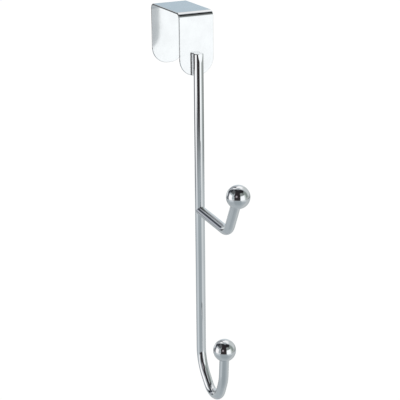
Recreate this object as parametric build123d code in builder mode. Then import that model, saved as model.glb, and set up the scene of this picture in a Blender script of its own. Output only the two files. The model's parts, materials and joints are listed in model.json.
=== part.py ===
from build123d import *
import os
from math import atan2, cos, sin

# Over-the-door double coat hook in chrome-plated steel.
# A folded strip hooks over the top of a door. A round rod is welded upright to the
# strip's front leg and ends in the lower hook. A shorter rod, welded to the front of
# the first, makes the upper hook. Each hook ends in a ball.
#
# Sizes are in millimetres. The origin is the middle of the top plate's underside, which
# rests on the door. +X runs across the strip, +Y towards the back of the door, +Z up.

# Bracket, one strip of sheet folded twice
door_gap = 45.0
strip_width = 26.0
sheet_thickness = 1.2
inner_fold_radius = 3.0
leg_length = 43.2
leg_corner_radius = 12.0
least_flat_leg_end = 1.0
edge_break = 0.3

# Round rod that both hooks are bent from
rod_diameter = 7.0
rod_end_break = 0.4

# Welded end of the main rod, pressed flat where it lies against the front leg, with a
# short slanted flat on its front
rod_top_drop = 27.2
weld_flat_depth = 1.0
weld_flat_ramp = 2.5
end_flat_depth = 0.5
end_flat_length = 6.2

# Lower hook: the corners of the rod's route, before they are bent round
shoulder_drop = 263.1
lower_slant_reach = 24.8
lower_slant_drop = 27.1
lower_rise_reach = 11.8
lower_rise_height = 27.8
lower_ball_reach = 38.4
lower_ball_height = 53.1
shoulder_bend_radius = 31.0
lower_bend_radius = 12.0
lower_rise_bend_radius = 29.0

# Upper hook: it leaves the main rod almost level and turns up at an elbow
upper_hook_drop = 141.8
elbow_reach = 44.3
elbow_fall = 2.4
upper_ball_reach = 59.0
upper_ball_height = 30.6
elbow_bend_radius = 10.0

# Balls, drilled to take the rod ends
ball_diameter = 16.5
socket_depth = 5.0

# Clearances of the fits
weld_clearance = 0.02
socket_clearance = 0.05

# Sizes that follow from those above
rod_radius = rod_diameter / 2
ball_radius = ball_diameter / 2
socket_radius = rod_radius + socket_clearance
front_leg_face = -(door_gap / 2 + sheet_thickness)
rod_axis_y = front_leg_face - (rod_radius - weld_flat_depth)
rod_front = rod_axis_y - rod_radius
widest_leg_corner = strip_width / 2 - least_flat_leg_end / 2
leg_corner = min(leg_corner_radius, widest_leg_corner)
beyond = ball_diameter


def rod_point(reach, drop):
    """A point in the hook's middle plane, given forward of the main rod and down from the plate."""
    return (rod_axis_y - reach, -drop)


def short_of(corner, centre, distance):
    """The point that lies a distance short of a ball's centre on the way there from a corner."""
    along = atan2(centre[1] - corner[1], centre[0] - corner[0])
    return (centre[0] - distance * cos(along), centre[1] - distance * sin(along))


# Corners of the main rod's route
rod_top = rod_point(0, rod_top_drop)
shoulder = rod_point(0, shoulder_drop)
lower_corner = rod_point(lower_slant_reach, shoulder_drop + lower_slant_drop)
lower_rise = rod_point(
    lower_slant_reach + lower_rise_reach,
    shoulder_drop + lower_slant_drop - lower_rise_height,
)
lower_ball_centre = rod_point(lower_ball_reach, shoulder_drop + lower_slant_drop - lower_ball_height)
lower_seat = short_of(lower_rise, lower_ball_centre, ball_radius - socket_depth)

# Corners of the upper hook's route
branch = rod_point(0, upper_hook_drop)
elbow = rod_point(elbow_reach, upper_hook_drop + elbow_fall)
upper_ball_centre = rod_point(upper_ball_reach, upper_hook_drop - upper_ball_height + elbow_fall)
upper_seat = short_of(elbow, upper_ball_centre, ball_radius - socket_depth)


# Bracket
with BuildPart() as bracket:
    with BuildSketch(Plane.YZ):
        with BuildLine():
            fold = FilletPolyline(
                (-door_gap / 2, -leg_length),
                (-door_gap / 2, 0),
                (door_gap / 2, 0),
                (door_gap / 2, -leg_length),
                radius=inner_fold_radius,
            )
            offset(fold, amount=sheet_thickness, side=Side.LEFT)
        make_face()
    extrude(amount=strip_width / 2, both=True)
    leg_end_corners = bracket.edges().filter_by(Axis.Y).group_by(Axis.Z)[0]
    fillet(leg_end_corners, radius=leg_corner)
    # The sheared rim is broken all round, on both faces of the sheet
    side_faces = bracket.faces().group_by(Axis.X)
    rim = (side_faces[0] + side_faces[-1]).edges().filter_by(lambda edge: edge.length > leg_corner)
    chamfer(rim, length=edge_break)
bracket.part.label = "bracket"


# Main rod, from its welded end down to the lower ball
with BuildPart() as main_rod:
    with BuildLine(Plane.YZ) as lower_route:
        FilletPolyline(
            rod_top,
            shoulder,
            lower_corner,
            lower_rise,
            lower_seat,
            radius=[shoulder_bend_radius, lower_bend_radius, lower_rise_bend_radius],
        )
    with BuildSketch(Plane(origin=lower_route.line @ 0, z_dir=lower_route.line % 0)):
        Circle(rod_radius)
    sweep()
    chamfer(main_rod.faces().sort_by(Axis.Z)[-1].edges(), length=rod_end_break)
    # The flat that lies against the front leg, with a ramp back to the round rod below it
    with BuildSketch(Plane.YZ):
        Polygon(
            (front_leg_face, -rod_top_drop + beyond),
            (front_leg_face, -leg_length),
            (front_leg_face + 2 * weld_flat_depth, -leg_length - 2 * weld_flat_ramp),
            (front_leg_face + beyond, -leg_length - 2 * weld_flat_ramp),
            (front_leg_face + beyond, -rod_top_drop + beyond),
            align=None,
        )
    extrude(amount=rod_diameter, both=True, mode=Mode.SUBTRACT)
    # The slanted flat on the front of the top end
    with BuildSketch(Plane.YZ):
        Polygon(
            (rod_front + 2 * end_flat_depth, -rod_top_drop + end_flat_length),
            (rod_front, -rod_top_drop - end_flat_length),
            (rod_front - end_flat_depth, -rod_top_drop - end_flat_length),
            (rod_front - end_flat_depth, -rod_top_drop + end_flat_length),
            align=None,
        )
    extrude(amount=rod_diameter, both=True, mode=Mode.SUBTRACT)
main_rod.part.label = "main_rod"


# Upper hook, whose foot is cut to a saddle that fits the front of the main rod
with BuildPart() as upper_hook:
    with BuildLine(Plane.YZ) as upper_route:
        FilletPolyline(branch, elbow, upper_seat, radius=elbow_bend_radius)
    with BuildSketch(Plane(origin=upper_route.line @ 0, z_dir=upper_route.line % 0)):
        Circle(rod_radius)
    sweep()
    with BuildSketch(Plane.XY.offset(branch[1] - beyond)):
        with Locations((0, rod_axis_y)):
            Circle(rod_radius + weld_clearance)
    extrude(amount=2 * beyond, mode=Mode.SUBTRACT)
upper_hook.part.label = "upper_hook"


def drilled_ball(centre, seat):
    """A ball with a blind hole, whose flat bottom the rod's end rests on."""
    mouth_plane = Plane(
        origin=(0, centre[0], centre[1]),
        z_dir=(0, seat[0] - centre[0], seat[1] - centre[1]),
    )
    with BuildPart(mouth_plane) as ball:
        Sphere(ball_radius)
        with Locations((0, 0, ball_radius)):
            Hole(socket_radius, depth=socket_depth)
    return ball


upper_ball = drilled_ball(upper_ball_centre, upper_seat)
upper_ball.part.label = "upper_ball"

lower_ball = drilled_ball(lower_ball_centre, lower_seat)
lower_ball.part.label = "lower_ball"


os.makedirs("parts", exist_ok=True)
export_step(bracket.part, "parts/bracket.step")
export_step(main_rod.part, "parts/main_rod.step")
export_step(upper_hook.part, "parts/upper_hook.step")
export_step(upper_ball.part, "parts/upper_ball.step")
export_step(lower_ball.part, "parts/lower_ball.step")
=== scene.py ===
import json
from math import cos, radians, sin

import bpy
from mathutils import Matrix, Vector

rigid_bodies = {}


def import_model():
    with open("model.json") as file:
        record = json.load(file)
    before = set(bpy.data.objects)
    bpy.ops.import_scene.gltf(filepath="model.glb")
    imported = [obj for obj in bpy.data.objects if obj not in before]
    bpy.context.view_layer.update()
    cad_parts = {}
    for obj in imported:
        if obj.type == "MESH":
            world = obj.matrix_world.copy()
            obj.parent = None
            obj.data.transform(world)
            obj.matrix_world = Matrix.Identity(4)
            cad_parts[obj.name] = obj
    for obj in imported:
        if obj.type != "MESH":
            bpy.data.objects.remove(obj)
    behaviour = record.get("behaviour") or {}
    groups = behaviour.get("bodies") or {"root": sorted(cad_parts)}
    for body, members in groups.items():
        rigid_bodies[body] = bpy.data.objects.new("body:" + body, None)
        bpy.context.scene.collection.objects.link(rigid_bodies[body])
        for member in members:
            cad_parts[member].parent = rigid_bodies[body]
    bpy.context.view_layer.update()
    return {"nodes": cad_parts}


# Chrome over-the-door double coat hook, hanging free over a pale floor.
# Everything is in metres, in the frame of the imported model: -Y is the front of the door.


# The default cube, lamp and camera go first
for default_object in list(bpy.data.objects):
    bpy.data.objects.remove(default_object)

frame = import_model()
nodes = frame["nodes"]

# Camera of the photograph, fitted to the object's edges
CAMERA_PLACE = Vector((-0.35487, -0.75751, 0.15411))
CAMERA_TARGET = Vector((-0.01855, -0.06468, -0.11917))
CAMERA_ROLL = radians(-0.568)
CAMERA_LENS = 108.0
SENSOR_WIDTH = 36.0
NEAREST_SEEN = 0.01

# Floor, below the hook's lowest point
FLOOR_DROP = 0.34
FLOOR_SIZE = 8.0
FLOOR_COLOUR = (0.80, 0.80, 0.80, 1)
FLOOR_GLOW = 0.74

# Soft lamp far overhead, for the shadow on the floor
LAMP_STRENGTH = 0.5
LAMP_WIDTH = radians(25)

# Even light from all round on what isn't a mirror, and the white that the camera sees
AMBIENT = (0.2, 0.2, 0.2, 1)
BACKDROP = (1, 1, 1, 1)

# Chrome plate: its colour, and how far its tint and its polish vary over the surface
CHROME = (0.80, 0.81, 0.82)
DARKEST_TINT = 0.97
BRIGHTEST_TINT = 1.02
BEST_POLISH = 0.6
WORST_POLISH = 1.5

# Noise in the plate: how many finer layers it has, and the middle range that is used
WAVE_DETAIL = 2.0
WAVE_RANGE = (0.35, 0.65)
GRAIN_DETAIL = 4.0
GRAIN_RANGE = (0.3, 0.7)

# Sockets of a Mix node that mixes colours
MIX_FACTOR = 0
MIX_FIRST = 6
MIX_SECOND = 7
MIX_RESULT = 2

HALF_TURN = 180.0


def node(tree, kind, **settings):
    """A new shader node with the given attributes."""
    made = tree.nodes.new(kind)
    for name, value in settings.items():
        setattr(made, name, value)
    return made


def link(tree, source, target):
    """Joins an output to an input, or sets the input where the source is a plain value."""
    if isinstance(source, bpy.types.NodeSocket):
        tree.links.new(source, target)
    else:
        target.default_value = source


def maths(tree, operation, *values):
    """The result of a Math node on sockets or plain numbers."""
    made = node(tree, "ShaderNodeMath", operation=operation)
    for value, socket in zip(values, made.inputs):
        link(tree, value, socket)
    return made.outputs[0]


def mix_colour(tree, factor, first, second):
    """Two colours mixed, the second one by the factor."""
    made = node(tree, "ShaderNodeMix", data_type="RGBA")
    link(tree, factor, made.inputs[MIX_FACTOR])
    link(tree, first, made.inputs[MIX_FIRST])
    link(tree, second, made.inputs[MIX_SECOND])
    return made.outputs[MIX_RESULT]


def ramp(tree, value, low, high, out_low=0.0, out_high=1.0, smooth=False):
    """A value mapped from one range to another, and kept inside it."""
    made = node(tree, "ShaderNodeMapRange")
    made.interpolation_type = "SMOOTHSTEP" if smooth else "LINEAR"
    for source, socket in zip((value, low, high, out_low, out_high), made.inputs):
        link(tree, source, socket)
    return made.outputs[0]


def linear(level):
    """A display level from 0 to 255 as scene light, by the sRGB curve."""
    share = level / 255
    return share / 12.92 if share <= 0.04045 else ((share + 0.055) / 1.055) ** 2.4


def as_seen(levels):
    """The light that looks like these display levels once the chrome has reflected it."""
    return tuple(linear(level) / plate for level, plate in zip(levels, CHROME)) + (1,)


# Surroundings that the chrome reflects: one patch of light or shade each, by direction, laid
# on the floor's shade in this order, so that a later patch covers an earlier one.
# Azimuth is 0 at the front of the door and grows to the right, elevation is 0 at the horizon.
# Each line gives the patch's name, middle azimuth, half width, middle elevation, half height
# and how soft its edge is, all in degrees, and the display levels it shows in the chrome.
FLOOR_SEEN = (163, 171, 176)
SURROUNDINGS = (
    ("darker floor in front", -28, 44, -42, 26, 36, (146, 155, 160)),
    ("paler floor at the right", 92, 34, -44, 28, 24, (182, 187, 189)),
    ("pale floor behind", 150, 56, -36, 22, 8, (174, 180, 183)),
    ("dim floor behind left", -178, 13, -23, 8, 5, (130, 135, 140)),
    ("light on the floor at the left", -98, 24, -24, 8, 12, (192, 199, 204)),
    ("light on the floor at the right", 30, 26, -22, 8, 12, (200, 206, 209)),
    ("side wall", 0, 200, 42, 59.5, 5, (165, 172, 176)),
    ("pale wall behind", 150, 62, 8, 22, 14, (212, 217, 219)),
    ("dimmer wall behind right", 117, 17, 14, 24, 8, (182, 187, 189)),
    ("bluish wall behind", 155, 14, 10, 7, 8, (172, 188, 199)),
    ("dimmer wall behind", 178, 13, 16, 14, 8, (148, 153, 158)),
    ("grey wall behind left", -144, 14, 0, 18, 8, (170, 174, 182)),
    ("top light behind", 147, 57, 51.5, 15.5, 13, (243, 244, 246)),
    ("greyer patch of the top light", 176, 24, 36, 8, 10, (152, 156, 162)),
    ("dark ceiling in front", -34, 108, 66, 20, 13, (40, 39, 42)),
    ("dark top of the room", 0, 200, 93, 8, 6, (48, 47, 50)),
    ("glow over the right softbox", 12, 22, 34, 14, 14, (136, 143, 141)),
    ("dim wall over the right softbox", 42, 18, 38, 11, 6, (106, 110, 109)),
    ("dark over the right softbox", 42, 18, 54, 9, 6, (34, 34, 36)),
    ("dark over the left softbox", -108, 32, 47, 15, 10, (88, 90, 92)),
    ("dark above the left corner", -138, 16, 40, 12, 8, (52, 54, 58)),
    ("dark corner behind left", -150, 15, 19, 11, 7, (62, 66, 74)),
    ("dark edge of the left softbox", -137.5, 6, -2, 14, 3, (40, 42, 46)),
    ("low dark strip at the left", -134.5, 8, -14.5, 3.5, 3, (56, 58, 62)),
    ("dim strip at the left", -140, 14, -17.3, 2, 2, (96, 100, 104)),
    ("dark strip behind left", -155.5, 5.5, -11.8, 5, 2, (20, 20, 22)),
    ("grey wall at the right", 58, 18, 14, 28, 14, (132, 142, 138)),
    ("pale wall at the right", 98, 18, 24, 28, 18, (192, 198, 199)),
    ("low grey wall at the right", 88, 38, -9, 6, 6, (166, 171, 170)),
    ("dark foot of the right wall", 105, 28, -15.5, 2.5, 3, (126, 131, 130)),
    ("dark room in front", -36, 28, 24, 41, 4, (50, 46, 48)),
    ("dark foot of the room", -68, 6, -17.2, 1.8, 2.5, (80, 78, 82)),
    ("light beside the left softbox", -78, 14, -13.3, 1.8, 2, (236, 238, 240)),
    ("wider top of the room", -37, 32, 40, 25, 5, (44, 40, 42)),
    ("lighter gap in the room", -44, 8, 20, 8, 10, (160, 152, 158)),
    ("soft edge of the right softbox", 41, 8, 3, 20, 12, (196, 204, 202)),
    ("left softbox", -107.5, 18.5, 1, 19, 8, (250, 250, 252)),
    ("right softbox", 16, 20, 2, 20, 6, (249, 253, 255)),
)


def within(tree, angle, middle, half_width, softness):
    """1 where an angle lies inside a range of directions and 0 outside, with a soft edge."""
    away = maths(tree, "SUBTRACT", angle, float(middle))
    away = maths(tree, "ABSOLUTE", maths(tree, "WRAP", away, HALF_TURN, -HALF_TURN))
    half_edge = softness / 2
    return ramp(tree, away, half_width + half_edge, half_width - half_edge, smooth=True)


def studio_colour(tree):
    """The surroundings' colour in every direction."""
    direction = node(tree, "ShaderNodeTexCoord").outputs["Generated"]
    split = node(tree, "ShaderNodeSeparateXYZ")
    link(tree, direction, split.inputs[0])
    x, y, z = split.outputs
    elevation = maths(tree, "DEGREES", maths(tree, "ARCSINE", z))
    azimuth = maths(tree, "DEGREES", maths(tree, "ARCTAN2", x, maths(tree, "MULTIPLY", y, -1.0)))
    colour = as_seen(FLOOR_SEEN)
    for _, middle, half_width, height, half_height, softness, seen in SURROUNDINGS:
        across = within(tree, azimuth, middle, half_width, softness)
        upright = within(tree, elevation, height, half_height, softness)
        inside = maths(tree, "MULTIPLY", across, upright)
        colour = mix_colour(tree, inside, colour, as_seen(seen))
    return colour


def make_world():
    """White behind the hook, the studio in its reflections, and an even light on the floor."""
    world = bpy.data.worlds.new("studio")
    world.use_nodes = True
    bpy.context.scene.world = world
    tree = world.node_tree
    tree.nodes.clear()
    ray = node(tree, "ShaderNodeLightPath")
    seen = maths(tree, "MAXIMUM", ray.outputs["Is Camera Ray"], ray.outputs["Is Transmission Ray"])
    colour = mix_colour(tree, ray.outputs["Is Glossy Ray"], AMBIENT, studio_colour(tree))
    colour = mix_colour(tree, seen, colour, BACKDROP)
    background = node(tree, "ShaderNodeBackground")
    link(tree, colour, background.inputs["Color"])
    output = node(tree, "ShaderNodeOutputWorld")
    link(tree, background.outputs[0], output.inputs["Surface"])


def floor_paint():
    """Pale paint that keeps a shadow, with a glow that only shows where it is looked at."""
    material = bpy.data.materials.new("floor")
    material.use_nodes = True
    tree = material.node_tree
    tree.nodes.clear()
    ray = node(tree, "ShaderNodeLightPath")
    seen = maths(tree, "MAXIMUM", ray.outputs["Is Camera Ray"], ray.outputs["Is Glossy Ray"])
    seen = maths(tree, "MAXIMUM", seen, ray.outputs["Is Transmission Ray"])
    diffuse = node(tree, "ShaderNodeBsdfDiffuse")
    diffuse.inputs["Color"].default_value = FLOOR_COLOUR
    glow = node(tree, "ShaderNodeEmission")
    link(tree, maths(tree, "MULTIPLY", seen, FLOOR_GLOW), glow.inputs["Strength"])
    both = node(tree, "ShaderNodeAddShader")
    link(tree, diffuse.outputs[0], both.inputs[0])
    link(tree, glow.outputs[0], both.inputs[1])
    output = node(tree, "ShaderNodeOutputMaterial")
    link(tree, both.outputs[0], output.inputs["Surface"])
    return material


def make_floor():
    """A floor below the hook, which the chrome doesn't reflect."""
    half = FLOOR_SIZE / 2
    mesh = bpy.data.meshes.new("floor")
    corners = [(-half, -half, 0), (half, -half, 0), (half, half, 0), (-half, half, 0)]
    mesh.from_pydata(corners, [], [(0, 1, 2, 3)])
    mesh.materials.append(floor_paint())
    floor = bpy.data.objects.new("floor", mesh)
    floor.location.z = -FLOOR_DROP
    floor.visible_glossy = False
    bpy.context.scene.collection.objects.link(floor)


def make_lamp():
    """A wide, even lamp straight above, which the chrome doesn't reflect."""
    light = bpy.data.lights.new("overhead", "SUN")
    light.energy = LAMP_STRENGTH
    light.angle = LAMP_WIDTH
    lamp = bpy.data.objects.new("overhead", light)
    lamp.visible_glossy = False
    bpy.context.scene.collection.objects.link(lamp)


def camera_pose():
    """The camera's place and direction, turned a little about its own axis."""
    forward = (CAMERA_TARGET - CAMERA_PLACE).normalized()
    level = forward.cross(Vector((0, 0, 1))).normalized()
    upright = level.cross(forward)
    right = level * cos(CAMERA_ROLL) + upright * sin(CAMERA_ROLL)
    up = upright * cos(CAMERA_ROLL) - level * sin(CAMERA_ROLL)
    turned = Matrix((right, up, -forward)).transposed().to_4x4()
    return Matrix.Translation(CAMERA_PLACE) @ turned


def make_camera():
    """The photograph's camera."""
    data = bpy.data.cameras.new("camera")
    data.lens = CAMERA_LENS
    data.sensor_width = SENSOR_WIDTH
    data.clip_start = NEAREST_SEEN
    camera = bpy.data.objects.new("camera", data)
    camera.matrix_world = camera_pose()
    bpy.context.scene.collection.objects.link(camera)
    bpy.context.scene.camera = camera


def noise(tree, place, size, detail):
    """A noise pattern with features of about the given size."""
    made = node(tree, "ShaderNodeTexNoise")
    link(tree, place, made.inputs["Vector"])
    made.inputs["Scale"].default_value = 1 / size
    made.inputs["Detail"].default_value = detail
    return made.outputs["Fac"]


def raised(tree, pattern, height, normal=None):
    """A surface that the pattern raises by up to the given height."""
    made = node(tree, "ShaderNodeBump")
    made.inputs["Distance"].default_value = height
    link(tree, pattern, made.inputs["Height"])
    if normal is not None:
        link(tree, normal, made.inputs["Normal"])
    return made.outputs[0]


def chrome(name, stretch, wave_size, wave_height, grain_size, grain_height, roughness):
    """Chrome plate with a slightly wavy, finely grained surface and uneven polish."""
    material = bpy.data.materials.new(name)
    material.use_nodes = True
    tree = material.node_tree
    surface = tree.nodes["Principled BSDF"]
    surface.inputs["Metallic"].default_value = 1.0
    place = node(tree, "ShaderNodeMapping", vector_type="POINT")
    place.inputs["Scale"].default_value = stretch
    link(tree, node(tree, "ShaderNodeTexCoord").outputs["Object"], place.inputs["Vector"])
    waves = noise(tree, place.outputs[0], wave_size, WAVE_DETAIL)
    grain = noise(tree, place.outputs[0], grain_size, GRAIN_DETAIL)

    darker = tuple(part * DARKEST_TINT for part in CHROME) + (1,)
    brighter = tuple(part * BRIGHTEST_TINT for part in CHROME) + (1,)
    tint = mix_colour(tree, ramp(tree, waves, *WAVE_RANGE), darker, brighter)
    link(tree, tint, surface.inputs["Base Color"])

    best, worst = roughness * BEST_POLISH, roughness * WORST_POLISH
    link(tree, ramp(tree, grain, *GRAIN_RANGE, best, worst), surface.inputs["Roughness"])

    wavy = raised(tree, waves, wave_height)
    link(tree, raised(tree, grain, grain_height, wavy), surface.inputs["Normal"])
    return material


def chrome_sheet():
    """Plate on the rolled strip, which is a little less flat than it looks."""
    return chrome(
        "chrome_sheet", (1, 1, 1), wave_size=0.009, wave_height=0.00002,
        grain_size=0.0008, grain_height=0.0000008, roughness=0.11,
    )


def chrome_rod():
    """Plate on the drawn rod, with faint lines along it."""
    return chrome(
        "chrome_rod", (1, 1, 0.12), wave_size=0.005, wave_height=0.00001,
        grain_size=0.0009, grain_height=0.0000008, roughness=0.045,
    )


def chrome_ball():
    """Plate on the polished balls."""
    return chrome(
        "chrome_ball", (1, 1, 1), wave_size=0.006, wave_height=0.00001,
        grain_size=0.0010, grain_height=0.0000006, roughness=0.04,
    )


FINISHES = {
    chrome_sheet: ("bracket",),
    chrome_rod: ("main_rod", "upper_hook"),
    chrome_ball: ("upper_ball", "lower_ball"),
}


def finish_nodes():
    """Gives each CAD node the material of its slot."""
    for make, names in FINISHES.items():
        material = make()
        for name in names:
            for slot in nodes[name].material_slots:
                slot.material = material


make_world()
make_floor()
make_lamp()
make_camera()
finish_nodes()
bpy.context.scene.view_settings.view_transform = "Standard"
